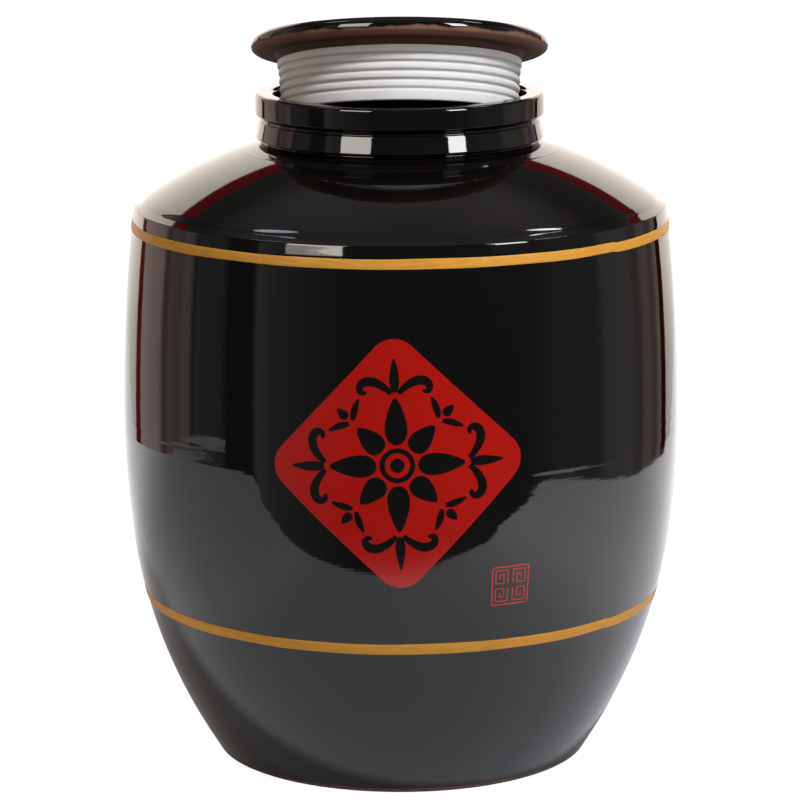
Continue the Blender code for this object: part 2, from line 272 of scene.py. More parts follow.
class Shader:
    """The node tree of one material or of the world."""

    def __init__(self, tree):
        self.tree = tree
        tree.nodes.clear()

    def node(self, kind, settings=None, sockets=None):
        """Add a node: its settings first, then its sockets' values or links. Return its outputs."""
        made = self.tree.nodes.new(kind)
        for name, value in (settings or {}).items():
            if name == "stops":
                self._set_stops(made.color_ramp, value)
            else:
                setattr(made, name, value)
        inputs = [socket for socket in made.inputs if socket.enabled]
        for key, value in (sockets or {}).items():
            socket = inputs[key] if isinstance(key, int) else next(
                item for item in inputs if item.name == key)
            if isinstance(value, Signal):
                self.tree.links.new(value.socket, socket)
            elif socket.type == "RGBA" and len(value) == 3:
                socket.default_value = (*value, 1.0)
            else:
                socket.default_value = value
        return {socket.name: Signal(self, socket) for socket in made.outputs if socket.enabled}

    @staticmethod
    def _set_stops(ramp, stops):
        while len(ramp.elements) < len(stops):
            ramp.elements.new(1.0)
        for element, (place, level) in zip(ramp.elements, stops):
            element.position = place
            element.color = (level, level, level, 1.0)

    def maths(self, operation, *values):
        """A Math node on one or two values."""
        return self.node("ShaderNodeMath", {"operation": operation},
                         dict(enumerate(values)))["Value"]

    def place(self):
        """Object coordinates."""
        return self.node("ShaderNodeTexCoord")["Object"]

    def parts(self, vector):
        """The X, Y and Z of a vector."""
        made = self.node("ShaderNodeSeparateXYZ", None, {0: vector})
        return made["X"], made["Y"], made["Z"]

    def vector(self, x, y, z):
        """A vector from three numbers or signals."""
        return self.node("ShaderNodeCombineXYZ", None, {0: x, 1: y, 2: z})["Vector"]

    def noise(self, vector, scale, detail, roughness=0.5):
        """Noise from 0 to 1."""
        return self.node("ShaderNodeTexNoise", {"noise_dimensions": "3D"},
                         {"Vector": vector, "Scale": scale, "Detail": detail,
                          "Roughness": roughness})["Fac"]

    def clamp(self, value):
        """Keep a signal from 0 to 1."""
        return self.node("ShaderNodeClamp", None, {"Value": value})["Result"]

    def fade(self, value, low, high):
        """0 below low, 1 above high and smooth between."""
        return self.node("ShaderNodeMapRange", {"interpolation_type": "SMOOTHSTEP"},
                         {"Value": value, "From Min": low, "From Max": high})["Result"]

    def mix(self, mask, first, second):
        """One colour where the mask is 0 and another where it is 1."""
        return self.node("ShaderNodeMix", {"data_type": "RGBA"},
                         {"Factor": mask, "A": first, "B": second})["Result"]

    def turn_place(self, reach):
        """Coordinates that run round the axis and up it, for streaks laid on a wheel."""
        x, y, z = self.parts(self.place())
        return self.vector(self.maths("ARCTAN2", x, y) * reach, z, 0.0)

    def bump(self, height, distance, strength):
        """A normal from a height signal."""
        return self.node("ShaderNodeBump", None,
                         {"Strength": strength, "Distance": distance, "Height": height})["Normal"]

    def principled(self, base, roughness, normal, **constants):
        """A Principled shader."""
        sockets = {"Base Color": base, "Roughness": roughness, "Normal": normal}
        for name, value in constants.items():
            sockets[name.replace("_", " ").title().replace("Ior", "IOR")] = value
        return self.node("ShaderNodeBsdfPrincipled", None, sockets)["BSDF"]

    def show(self, shown):
        """Send a shader to the material's output."""
        self.node("ShaderNodeOutputMaterial", None, {"Surface": shown})

    def surface(self, *values, **constants):
        """Finish the material with one Principled shader."""
        self.show(self.principled(*values, **constants))


def new_finish(name):
    """A new material and the shader that fills it."""
    made = bpy.data.materials.new(name)
    made.use_nodes = True
    return made, Shader(made.node_tree)


def black_glaze(name, finish, bare_below):
    """Deep gloss glaze with a fine orange peel and browner clouds, over a foot of bare clay."""
    made, shader = new_finish(name)
    place = shader.place()
    peel = shader.noise(place, 330.0, 2.0)
    flow = shader.noise(shader.turn_place(0.03), 160.0, 3.0)
    cloud = shader.noise(place, 9.0, 3.0)
    base = shader.mix(shader.fade(cloud, 0.55, 0.80) * 0.35, finish.glaze, finish.thin_glaze)
    rough = finish.glaze_gloss + 0.03 * shader.fade(cloud, 0.45, 0.75)
    height = peel * 0.4 + flow
    normal = shader.bump(height, 0.00005, 0.35)
    z = shader.parts(place)[2]
    edge = bare_below + 0.0012 * (shader.noise(place, 60.0, 3.0) - 0.5)
    bare = 1.0 - shader.fade(z - edge, -0.0002, 0.0003)
    grain = shader.noise(place, 900.0, 4.0)
    base = shader.mix(bare, base, shader.mix(grain, finish.clay_grain_and_shade, finish.clay))
    shader.surface(base, rough + bare * 0.7, normal, ior=1.5)
    return made


def gold_enamel(name, finish):
    """Ochre gold laid with a brush on the wheel, with fine streaks along the band."""
    made, shader = new_finish(name)
    along = shader.turn_place(0.012)
    streak = shader.noise(along, 900.0, 4.0, 0.6)
    patch = shader.noise(shader.place(), 45.0, 2.0)
    mask = shader.clamp(shader.fade(streak, 0.35, 0.75) * 0.65
                        + shader.fade(patch, 0.5, 0.8) * 0.35)
    base = shader.mix(mask, finish.gold, finish.gold_dark)
    rough = 0.30 + 0.16 * streak
    shader.surface(base, rough, shader.bump(streak, 0.00012, 0.5), specular_ior_level=0.08)
    return made


def print_enamel(name, tone, gloss):
    """A screen-printed film, with the faint level lines of the screen."""
    made, shader = new_finish(name)
    x, y, z = shader.parts(shader.place())
    lines = shader.noise(shader.vector(x * 0.06, y * 0.06, z), 1500.0, 3.0)
    cloud = shader.noise(shader.place(), 35.0, 3.0)
    dark = tuple(0.72 * part for part in tone)
    base = shader.mix(shader.clamp(lines * 0.35 + shader.fade(cloud, 0.5, 0.85) * 0.4), tone, dark)
    rough = gloss + 0.06 * lines
    shader.surface(base, rough, shader.bump(lines, 0.00003, 0.5), ior=1.5)
    return made


def lid_finish(name, finish, lid):
    """Black glaze over the lid's top, with a wavering edge, and bare clay under it, darkened
    towards the plug by painted shade.
    """
    made, shader = new_finish(name)
    place = shader.place()
    x, y, z = shader.parts(place)
    waver = shader.noise(shader.vector(x, y, 0.0), 22.0, 1.0)
    fine = shader.noise(shader.vector(x, y, 0.0), 75.0, 1.0)
    edge = lid.glaze_edge + 0.0060 * (waver - 0.5) + 0.0040 * (fine - 0.5)
    glazed = shader.fade(z - edge, -0.00025, 0.00025)
    halo = shader.fade(z - edge, -0.0016, 0.0)
    grain = shader.noise(place, 700.0, 4.0, 0.6)
    cloud = shader.noise(place, 28.0, 3.0)
    radius = shader.maths("SQRT", x * x + y * y)
    # Painted shade: the bare clay darkens towards the plug under the disc, where the disc shades
    # it, broken up by random clouds.
    shadowed = shader.clamp(1.0 - shader.fade(radius, 0.078, 0.094) + 0.35 * (cloud - 0.5))
    clay = shader.mix(shadowed, finish.clay, finish.clay_grain_and_shade)
    clay = shader.mix(grain * 0.35, clay, finish.clay_grain_and_shade)
    clay = shader.mix(halo * 0.6, clay, finish.thin_glaze)
    relief = shader.bump(grain + glazed * 1.6, 0.00012, 0.5)
    bare = shader.principled(clay, 0.70 + 0.15 * grain, relief, specular_ior_level=0.2)
    peel = shader.bump(shader.noise(place, 330.0, 2.0), 0.00002, 0.5)
    glaze = shader.principled(finish.glaze, 0.04 + 0.02 * cloud, peel, ior=1.5)
    shader.show(shader.node("ShaderNodeMixShader", None, {0: glazed, 1: bare, 2: glaze})["Shader"])
    return made


def white_silicone(name, finish):
    """Milky silicone with a faint satin skin and moulding haze."""
    made, shader = new_finish(name)
    place = shader.place()
    haze = shader.noise(place, 60.0, 3.0)
    fine = shader.noise(place, 1200.0, 2.0)
    dull = tuple(0.93 * part for part in finish.silicone)
    base = shader.mix(shader.fade(haze, 0.4, 0.8), finish.silicone, dull)
    rough = 0.58 + 0.12 * haze
    shader.surface(base, rough, shader.bump(fine, 0.00003, 0.6), specular_ior_level=0.30,
                   subsurface_weight=0.35, subsurface_radius=(0.006, 0.0058, 0.0055),
                   subsurface_scale=1.0)
    return made


def rounded(corners, steps, closed=False):
    """Turn (radius, height, rounding) corners into points, with an arc at each rounded corner."""
    points = []
    last = len(corners) - 1
    for index, (radius, height, rounding) in enumerate(corners):
        if rounding <= 0 or (index in (0, last) and not closed):
            points.append((radius, height))
            continue
        here = Vector((radius, height))
        to_before = Vector(corners[index - 1][:2]) - here
        to_after = Vector(corners[(index + 1) % len(corners)][:2]) - here
        half = 0.5 * to_before.angle(to_after)
        room = 0.49 * min(to_before.length, to_after.length)    # not quite half of a side
        tangent = min(rounding / math.tan(half), room)
        start = here + to_before.normalized() * tangent
        end = here + to_after.normalized() * tangent
        arc = tangent * math.tan(half)
        centre = here + ((start + end) / 2 - here).normalized() * math.hypot(tangent, arc)
        first = math.atan2(start.y - centre.y, start.x - centre.x)
        turn = math.atan2(end.y - centre.y, end.x - centre.x) - first
        turn = (turn + math.pi) % (2 * math.pi) - math.pi
        for step in range(steps + 1):
            place = first + turn * step / steps
            points.append((centre.x + arc * math.cos(place), centre.y + arc * math.sin(place)))
    return points


def held(points):
    """Add a point near both ends of each long side, so that its shading stays flat."""
    made = []
    for here, there in zip(points, points[1:]):
        made.append(here)
        run = Vector(there) - Vector(here)
        if run.length > LONG_SIDE:
            made += [tuple(Vector(here) + run * part) for part in (0.08, 0.92)]
    return made + [points[-1]]


def spread(low, high, steps):
    """Numbers from low to high in even steps, without the two ends."""
    return [low + (high - low) * step / steps for step in range(1, steps)]


def wall_radius(jar, height):
    """Outer radius of the glaze, from the foot up to the shoulder."""
    shoulder = jar.rim_height - jar.shoulder_drop
    belly = jar.belly_radius - jar.enamel_room
    if height < jar.belly_height:
        part = (jar.belly_height - height) / jar.belly_height
        radius = belly - (belly - jar.foot_radius) * part ** jar.lower_fullness
    else:
        part = (height - jar.belly_height) / (shoulder - jar.belly_height)
        radius = belly - (belly - jar.shoulder_radius) * part ** jar.upper_fullness
    from_seam = height - jar.seam_height
    lip = (from_seam - LIP_RISE) / LIP_SPREAD
    return (radius + jar.seam_relief * math.exp(-abs(from_seam) / SEAM_SPREAD)
            + LIP_SHARE * jar.seam_relief * math.exp(-lip * lip))


def throwing_ripple(jar, azimuth, height):
    """Slow waves of the wheel, nearly level and a little out of round."""
    fine = height * 2 * math.pi / FINE_WAVE
    slow = height * 2 * math.pi / SLOW_WAVE
    waves = (0.8 * math.sin(fine + 0.9 * math.sin(azimuth + 2.1))
             * (0.6 + 0.4 * math.sin(3 * azimuth + height * 40))
             + 2.2 * math.sin(slow + 1.2 * math.sin(azimuth - 0.8))
             + 4.0 * math.sin(3 * azimuth + height * 9 + 1.0)
             + 0.5 * math.sin(11 * azimuth + 5.0 * math.sin(height * 30)))
    return jar.ripple * (waves - HIGHEST_WAVE)


def skin(jar, azimuth, height, lift):
    """A point on the glaze, lift metres proud. Azimuth 0 is the front and grows to the right."""
    radius = wall_radius(jar, height) + throwing_ripple(jar, azimuth, height) + lift
    return Vector((radius * math.sin(azimuth), -radius * math.cos(azimuth), height))


def piece_from(name, points, faces, material):
    """A smooth mesh object in the scene."""
    mesh = bpy.data.meshes.new(name)
    mesh.from_pydata([tuple(point) for point in points], [], faces)
    mesh.validate()
    mesh.shade_smooth()
    mesh.set_sharp_from_angle(angle=CREASE)
    mesh.materials.append(material)
    made = bpy.data.objects.new(name, mesh)
    bpy.context.scene.collection.objects.link(made)
    return made


def turned(name, outline, material, steps, change, closed=False):
    """Turn an outline about Z. change(radius, azimuth, height) gives the radius of each point."""
    points, faces = [], []
    count_up = len(outline)
    for step in range(steps):
        azimuth = 2 * math.pi * step / steps
        for radius, height in outline:
            at = change(radius, azimuth, height)
            points.append((at * math.sin(azimuth), -at * math.cos(azimuth), height))
    for step in range(steps):
        here, there = step * count_up, (step + 1) % steps * count_up
        for index in range(count_up if closed else count_up - 1):
            after = (index + 1) % count_up
            faces.append((here + index, there + index, there + after, here + after))
    if not closed:
        for index in (0, count_up - 1):
            middle = len(points)
            points.append((0.0, 0.0, outline[index][1]))
            for step in range(steps):
                here, there = step * count_up + index, (step + 1) % steps * count_up + index
                faces.append((middle, there, here) if index == 0 else (middle, here, there))
    return piece_from(name, points, faces, material)


def inside_corners(jar):
    """The jar's inside, from the middle of its floor to the foot of the bore."""
    shoulder = jar.rim_height - jar.shoulder_drop
    return [(0.03, jar.floor, 0),
            (wall_radius(jar, jar.floor) - jar.wall, jar.floor, jar.floor_round),
            *((wall_radius(jar, height) - jar.wall, height, 0)
              for height in spread(0.045, shoulder - 0.015, 40)),
            (jar.shoulder_radius - jar.wall, shoulder - jar.wall, 0.008),
            (jar.bore_radius, jar.rim_height - jar.bore_length, 0.002)]


def mouth_corners(jar):
    """Rim, upper collar, groove, lower collar and the root of the neck."""
    collar_foot = jar.rim_height - jar.collar_height
    groove_top = collar_foot - jar.collar_bevel
    lower_top = groove_top - jar.groove_height
    lower_foot = lower_top - jar.lower_collar_height
    face = jar.collar_radius - INSET
    return [(jar.bore_radius, jar.rim_height, jar.bore_round),
            (face, jar.rim_height, jar.collar_round),
            (face, collar_foot, 0.0008),
            (jar.collar_radius - jar.groove_depth, groove_top, 0.0006),
            (jar.collar_radius - jar.groove_depth, lower_top, 0.0004),
            (jar.collar_radius - jar.lower_collar_flare, lower_top, 0.0007),
            (face, lower_foot, 0.0007),
            (jar.collar_radius - 0.0030, lower_foot - 0.0008, 0.0006),
            (jar.root_radius + 0.0008, jar.rim_height - jar.root_drop + 0.0006, 0.0010)]


def dome_corners(jar):
    """The dome from the neck to the ledge, with the ring turned round the neck's foot."""
    shoulder = jar.rim_height - jar.shoulder_drop
    outer = Vector((jar.shoulder_radius, shoulder))
    run = Vector((jar.root_radius, jar.rim_height - jar.root_drop)) - outer
    across = Vector((run.y, -run.x)).normalized()
    dome = []
    for part in spread(0.0, 1.0, 48) + spread(0.78, 0.94, 60):  # finer where the ring is turned
        point = outer + run * part + across * (4 * jar.shoulder_crown * part * (1 - part))
        if jar.root_radius + DOME_INSIDE < point.x < jar.shoulder_radius - DOME_OUTSIDE:
            off = (point.x - jar.root_radius - jar.turned_ring_reach) / jar.turned_ring_width
            dome.append((point.x, point.y + jar.turned_ring * math.exp(-off ** 2), 0))
    dome.sort()
    radius, height, _ = dome[-1]
    fall = math.atan2(dome[-2][1] - height, radius - dome[-2][0])
    for _ in range(DOME_FOOT_STEPS):
        fall += DOME_FOOT_TURN
        radius += DOME_FOOT_STEP * math.cos(fall)
        height -= DOME_FOOT_STEP * math.sin(fall)
        dome.append((radius, height, 0))
    return dome + [(jar.shoulder_radius - 0.0003, shoulder, 0.0014)]


def outside_corners(jar):
    """The jar's outside, from the shoulder down to the middle of its base."""
    shoulder = jar.rim_height - jar.shoulder_drop
    ring_inside = jar.foot_radius - jar.foot_ring
    return [*((wall_radius(jar, height), height, 0)
              for height in reversed(spread(0.003, shoulder - 0.0045, 176))),
            (jar.foot_radius, 0.0, jar.foot_round), (ring_inside, 0.0, 0.001),
            (ring_inside - jar.foot_recess, jar.foot_recess, 0.002),
            (ring_inside / 2, jar.foot_recess, 0)]


def jar_outline(jar):
    """The jar's section from the middle of its floor, over the rim, to the middle of its base."""
    corners = inside_corners(jar) + mouth_corners(jar) + dome_corners(jar) + outside_corners(jar)
    return held(rounded(corners, ARC_STEPS))


def in_lid_frame(lid, jar):
    """The place of the lid's own frame: seat plane at Z 0, tipped about the rear of its seat."""
    pivot = Vector((0.0, lid.seat_radius, jar.rim_height + lid.seat_gap))
    return (Matrix.Translation(pivot) @ Matrix.Rotation(-lid.tilt, 4, "X")
            @ Matrix.Translation((0.0, -lid.seat_radius, 0.0)))


def lid_outline(lid):
    """The lid's section from the middle of its top, round its edge, down the plug to its hollow."""
    crown_edge = lid.radius - lid.edge_draw
    corners = [(crown_edge * part, lid.edge_height + lid.crown * (1 - part ** 2), 0)
               for part in spread(0.0, 1.0, 16)]
    hollow = lid.plug_radius - lid.plug_wall
    foot = -lid.root_depth - lid.plug_length
    corners += [(crown_edge, lid.edge_height, lid.edge_round),
                (lid.radius, (lid.edge_height + lid.lower_edge) / 2 + 0.001, 0.004),
                (lid.radius - 0.0008, lid.lower_edge, 0.0030),
                (lid.seat_radius, 0.0, 0.0060),
                (lid.root_radius, 0.0, 0.0022),
                (lid.root_radius - lid.root_slope, -lid.root_depth, 0.0012),
                (lid.plug_radius, -lid.root_depth, 0.0004),
                (lid.plug_radius, foot, lid.plug_round),
                (hollow, foot, lid.plug_round),
                (hollow, 0.0, 0.004),
                (hollow / 2, 0.0, 0.0)]
    return held(rounded(corners, ARC_STEPS))


def ring_outline(lid):
    """The ring's closed section: flange, soft round ribs, plain skirt and straight inner face."""
    top = -lid.ring_top
    foot = top - lid.ring_height
    level = top - lid.flange_height
    corners = [(lid.ring_inner, top, 0.0004), (lid.ring_radius, top, 0.0014),
               (lid.ring_radius, level + 0.0002, 0.0016)]
    for rib in range(lid.rib_count):
        part = (rib + 0.5) / (lid.rib_count + 1.5)     # how far down the ring's taper
        tip = lid.rib_radius + (lid.rib_foot_radius - lid.rib_radius) * part
        corners += [(tip - lid.rib_depth, level, 0.0005),
                    (tip, level - 0.0015, 0.0015),
                    (tip, level - lid.rib_pitch + 0.0014, 0.0018)]
        level -= lid.rib_pitch
    corners += [(lid.rib_foot_radius - 0.0008, level, 0.0006),
                (lid.rib_foot_radius, level - 0.0016, 0.0012),
                (lid.rib_foot_radius, foot, 0.0010),
                (lid.ring_inner, foot, 0.0004)]
    return rounded(corners, RING_ARC_STEPS, closed=True)


def rounded_square(half, rounding, per_side):
    """Points round a square with rounded corners, all the way, in its own plane."""
    points = []
    for corner in range(4):
        turn = corner * math.pi / 2
        for step in range(per_side):
            part = step / per_side
            flat = half - rounding
            if part < 0.5:
                local = (half, -flat + 4 * flat * part)
            else:
                bend = (part - 0.5) * math.pi
                local = (flat + rounding * math.cos(bend), flat + rounding * math.sin(bend))
            points.append((local[0] * math.cos(turn) - local[1] * math.sin(turn),
                           local[0] * math.sin(turn) + local[1] * math.cos(turn)))
    return points


def on_skin(jar, middle, across, up, lift):
    """A point of a flat print on the wall. Its middle is an azimuth, a height and a lean."""
    turn, height, lean = middle
    sideways = across * math.cos(lean) - up * math.sin(lean)
    upward = across * math.sin(lean) + up * math.cos(lean)
    return skin(jar, turn + sideways / jar.belly_radius, height + upward, lift)


def film_patch(jar, middle, outline, rings, lift, centre=(0.0, 0.0)):
    """A film over a star-shaped outline, with an edge that goes down into the glaze."""
    points, faces = [], []
    rows = [(part / rings, lift) for part in range(1, rings + 1)] + [(1.0, SINK)]
    for size, proud in rows:
        for across, up in outline:
            points.append(on_skin(jar, middle, centre[0] + (across - centre[0]) * size,
                                  centre[1] + (up - centre[1]) * size, proud))
    points.append(on_skin(jar, middle, *centre, lift))
    total = len(outline)
    for row in range(len(rows) - 1):
        inner, outer = row * total, (row + 1) * total
        for index in range(total):
            after = (index + 1) % total
            faces.append((inner + index, outer + index, outer + after, inner + after))
    for index in range(total):
        faces.append((len(points) - 1, index, (index + 1) % total))
    return points, faces


def film_stroke(jar, middle, path, widths, lift, closed=False):
    """A film along a path of points, with a width at each, as a brush or a cut line leaves it."""
    points, faces = [], []
    total = len(path)
    section = ((-1.0, SINK), (-0.96, lift), (0.0, lift), (0.96, lift), (1.0, SINK))
    for index in range(total):
        before = Vector(path[index - 1] if index or closed else path[0])
        after = Vector(path[(index + 1) % total] if index < total - 1 or closed else path[-1])
        along = (after - before).normalized()
        side = Vector((-along.y, along.x)) * widths[index] / 2
        here = Vector(path[index])
        for place, proud in section:
            points.append(on_skin(jar, middle, *(here + side * place), proud))
    for index in range(total if closed else total - 1):
        here, there = index * len(section), (index + 1) % total * len(section)
        for strip in range(len(section) - 1):
            faces.append((here + strip, there + strip, there + strip + 1, here + strip + 1))
    return points, faces


def join(parts):
    """Several (points, faces) pairs as one."""
    points, faces = [], []
    for more_points, more_faces in parts:
        start = len(points)
        points += more_points
        faces += [tuple(start + index for index in face) for face in more_faces]
    return points, faces


def petal(turn, near, far, width, steps=20):
    """A pointed petal between two distances from the middle."""
    points = []
    for step in range(steps):
        part = step / steps * 2 * math.pi
        along = (near + far) / 2 - math.cos(part) * (far - near) / 2
        narrow = math.sin(part) * width / 2 * (0.75 + 0.35 * math.cos(part))
        points.append((along * math.cos(turn) - narrow * math.sin(turn),
                       along * math.sin(turn) + narrow * math.cos(turn)))
    return points


def scroll(start, heading, reach, curl, steps=40):
    """A path that leaves start on a heading and curls up tighter towards its end."""
    x, y = start
    points = [(x, y)]
    for step in range(steps):
        part = step / steps
        heading += curl * (0.25 + 3.2 * part * part) / steps
        x += reach * (1.0 - 0.55 * part) / steps * math.cos(heading)
        y += reach * (1.0 - 0.55 * part) / steps * math.sin(heading)
        points.append((x, y))
    return points


def around(turn, far, across=0.0):
    """A point far from the middle along a turn, and across metres to its left."""
    return (far * math.cos(turn) - across * math.sin(turn),
            far * math.sin(turn) + across * math.cos(turn))


# The rosette's petals, in metres from its middle: near end, far end, width, rows of the film and
# the middle of the petal. Four petals of each kind point up, down and to the sides, four between.
UPRIGHT_PETALS = ((0.0125, 0.0415, 0.0170, 7, 0.0270), (0.0445, 0.0655, 0.0075, 4, 0.0550))
SLANTED_PETALS = ((0.0125, 0.0330, 0.0165, 6, 0.0227), (0.0415, 0.0500, 0.0070, 3, 0.0457))
BOSS_RADIUS, BOSS_STEPS = 0.0044, 32
BOSS_RING_RADIUS, BOSS_RING_WIDTH, BOSS_RING_STEPS = 0.0092, 0.0032, 72
BOW_STEPS = 24


def rosette(jar, middle, lift):
    """Eight petals round a ringed boss, leaves beyond them, and cloud scrolls and bows between."""
    disc = [around(2 * math.pi * step / BOSS_STEPS, BOSS_RADIUS) for step in range(BOSS_STEPS)]
    ring = [around(2 * math.pi * step / BOSS_RING_STEPS, BOSS_RING_RADIUS)
            for step in range(BOSS_RING_STEPS)]
    parts = [film_patch(jar, middle, disc, 2, lift),
             film_stroke(jar, middle, ring, [BOSS_RING_WIDTH] * len(ring), lift, closed=True)]
    for leaf in range(8):
        turn = leaf * math.pi / 4 + math.pi / 2
        upright = leaf % 2 == 0
        for near, far, width, rows, centre in UPRIGHT_PETALS if upright else SLANTED_PETALS:
            parts.append(film_patch(jar, middle, petal(turn, near, far, width), rows, lift,
                                    around(turn, centre)))
        for side in (-1, 1):
            if upright:
                path = scroll(around(turn, 0.0440, side * 0.0022), turn + side * 0.75, 0.0400,
                              side * 3.9)
                widths = [0.0018 + 0.0040 * math.sin(math.pi * min(1.0, 0.10 + step / 46))
                          for step in range(len(path))]
            else:
                path = [around(turn + side * (0.04 + 0.011 * step), 0.0385 + 0.00035 * step)
                        for step in range(BOW_STEPS)]
                swell = 0.8 / (BOW_STEPS - 1)
                widths = [0.0006 + 0.0038 * math.sin(math.pi * (0.15 + swell * step))
                          for step in range(BOW_STEPS)]
            parts.append(film_stroke(jar, middle, path, widths, lift))
    return join(parts)


# The corners of one fret, in parts of its cell, from the outer end to the inner one.
FRET_CORNERS = ((-0.72, -0.72), (-0.72, 0.72), (0.72, 0.72), (0.72, -0.72),
                (-0.24, -0.72), (-0.24, 0.24), (0.24, 0.24), (0.24, -0.26))
FRET_STEPS = 6                      # points along each straight of a fret


def fret_square(jar, enamel, middle, lift):
    """A square line frame with a plain square fret in each quarter of it."""
    half = enamel.square_side
    width = enamel.line_width
    frame_line = rounded_square(half, 0.0016, 24)
    parts = [film_stroke(jar, middle, frame_line, [width] * len(frame_line), lift, closed=True)]
    cell = half * 0.47
    path = []
    for (ax, ay), (bx, by) in zip(FRET_CORNERS, FRET_CORNERS[1:]):
        path += [(ax + (bx - ax) * part / FRET_STEPS, ay + (by - ay) * part / FRET_STEPS)
                 for part in range(FRET_STEPS)]
    path.append(FRET_CORNERS[-1])
    for across in (-1, 1):
        for up in (-1, 1):
            flat = [(across * cell * (1.02 + x), up * cell * (1.02 + y)) for x, y in path]
            parts.append(film_stroke(jar, middle, flat, [width * 0.85] * len(flat), lift))
    return join(parts)


# A band's section: place across it in parts of its width, and height in parts of its relief.
BAND_SECTION = ((-0.5, 0.45), (-0.42, 0.9), (-0.25, 1.0), (0.0, 1.0), (0.25, 1.0), (0.42, 0.9),
                (0.5, 0.45))


def band(name, jar, height, width, relief, material):
    """A fired-on band whose ends overlap by a hair where the brush stopped."""
    steps = jar.steps
    section = [(-0.5, 2 * SINK), *((place, relief * part) for place, part in BAND_SECTION),
               (0.5, 2 * SINK)]
    points, faces = [], []
    for step in range(steps):
        part = step / steps
        azimuth = BRUSH_STOP + 2 * math.pi * part
        drift = (0.0007 * part - 0.00035
                 + 0.00012 * math.sin(7 * azimuth) + 0.00008 * math.sin(17 * azimuth))
        swell = 1.0 + 0.03 * math.sin(5 * azimuth + 1.0) + 0.02 * math.sin(13 * azimuth)
        for place, proud in section:
            points.append(skin(jar, azimuth, height + drift + place * width * swell, proud))
    rows = len(section)
    for step in range(steps):
        here, there = step * rows, (step + 1) % steps * rows
        for index in range(rows - 1):
            faces.append((here + index, there + index, there + index + 1, here + index + 1))
    return piece_from(name, points, faces, material)


class WINEJAR_OT_throw_jar(bpy.types.Operator):
    """Build the glazed jar: foot, belly, seam, shoulder ledge, dome, collars, rim and inside"""

    bl_idname = "winejar.throw_jar"
    bl_label = "Throw the jar"

    def execute(self, context):
        jar = context.scene.wine_jar_wall
        finish = context.scene.wine_jar_finish
        shoulder = jar.rim_height - jar.shoulder_drop
        lowest, highest = 0.004, shoulder + 0.035

        def waver(radius, azimuth, height):
            """The wheel's waves outside, and a slower unevenness elsewhere."""
            outside = radius > wall_radius(jar, min(height, shoulder)) - 0.5 * jar.wall
            if outside and lowest < height < highest:
                return radius + throwing_ripple(jar, azimuth, height)
            return radius + jar.ripple * 0.8 * math.sin(3 * azimuth + 60 * height) - jar.ripple

        glaze = black_glaze("black_glaze", finish, jar.bare_foot)
        made = turned("jar_glazed", jar_outline(jar), glaze, jar.steps, waver)
        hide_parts("jar_body", "jar_shoulder", "jar_mouth")
        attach(made, "jar")
        return {"FINISHED"}


class WINEJAR_OT_lay_bands(bpy.types.Operator):
    """Lay the two gold bands on the glaze"""

    bl_idname = "winejar.lay_bands"
    bl_label = "Lay the gold bands"

    def execute(self, context):
        jar = context.scene.wine_jar_wall
        enamel = context.scene.wine_jar_enamel
        gold = gold_enamel("gold_enamel", context.scene.wine_jar_finish)
        for name, height, width in (("upper_gold_band", enamel.upper_band, enamel.upper_width),
                                    ("lower_gold_band", enamel.lower_band, enamel.lower_width)):
            made = band(name, jar, height, width, enamel.relief, gold)
            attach(made, "jar")
        return {"FINISHED"}


class WINEJAR_OT_print_diamond(bpy.types.Operator):
    """Print the red diamond and its black rosette ornament"""

    bl_idname = "winejar.print_diamond"
    bl_label = "Print the diamond"

    def execute(self, context):
        jar = context.scene.wine_jar_wall
        enamel = context.scene.wine_jar_enamel
        finish = context.scene.wine_jar_finish
        lean = enamel.diamond_lean + math.pi / 4
        outline = rounded_square(enamel.diamond_side, enamel.diamond_round, 40)
        points, faces = film_patch(jar, (enamel.diamond_turn, enamel.diamond_height, lean),
                                   outline, 48, enamel.film)
        diamond = piece_from("red_diamond", points, faces,
                             print_enamel("red_enamel", finish.red, 0.13))
        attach(diamond, "jar")
        middle = (enamel.diamond_turn, enamel.diamond_height, enamel.diamond_lean)
        points, faces = rosette(jar, middle, 2 * enamel.film)
        ornament = piece_from("rosette_ornament", points, faces,
                              print_enamel("black_enamel", finish.ink, 0.08))
        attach(ornament, "jar")
        return {"FINISHED"}


class WINEJAR_OT_print_square(bpy.types.Operator):
    """Print the small red square with its fret"""

    bl_idname = "winejar.print_square"
    bl_label = "Print the small square"

    def execute(self, context):
        jar = context.scene.wine_jar_wall
        enamel = context.scene.wine_jar_enamel
        finish = context.scene.wine_jar_finish
        middle = (enamel.square_turn, enamel.square_height, enamel.diamond_lean * 0.4)
        points, faces = fret_square(jar, enamel, middle, enamel.film)
        red = print_enamel("red_line_enamel", tuple(0.9 * part for part in finish.red), 0.15)
        made = piece_from("red_fret_square", points, faces, red)
        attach(made, "jar")
        return {"FINISHED"}


class WINEJAR_OT_throw_lid(bpy.types.Operator):
    """Build the lid with its glazed top and bare clay plug"""

    bl_idname = "winejar.throw_lid"
    bl_label = "Throw the lid"

    def execute(self, context):
        jar = context.scene.wine_jar_wall
        lid = context.scene.wine_jar_lid

        def warp(radius, azimuth, _height):
            """A hair out of round, as a fired disc is."""
            out_of_round = 0.00012 * radius / lid.radius
            return radius + out_of_round * (math.sin(2 * azimuth + 0.7) - 1.0)

        finish = lid_finish("lid_glaze_and_clay", context.scene.wine_jar_finish, lid)
        made = turned("lid_turned", lid_outline(lid), finish, LID_STEPS, warp)
        made.matrix_world = in_lid_frame(lid, jar)
        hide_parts("lid", "lid_plug")
        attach(made, "lid")
        return {"FINISHED"}


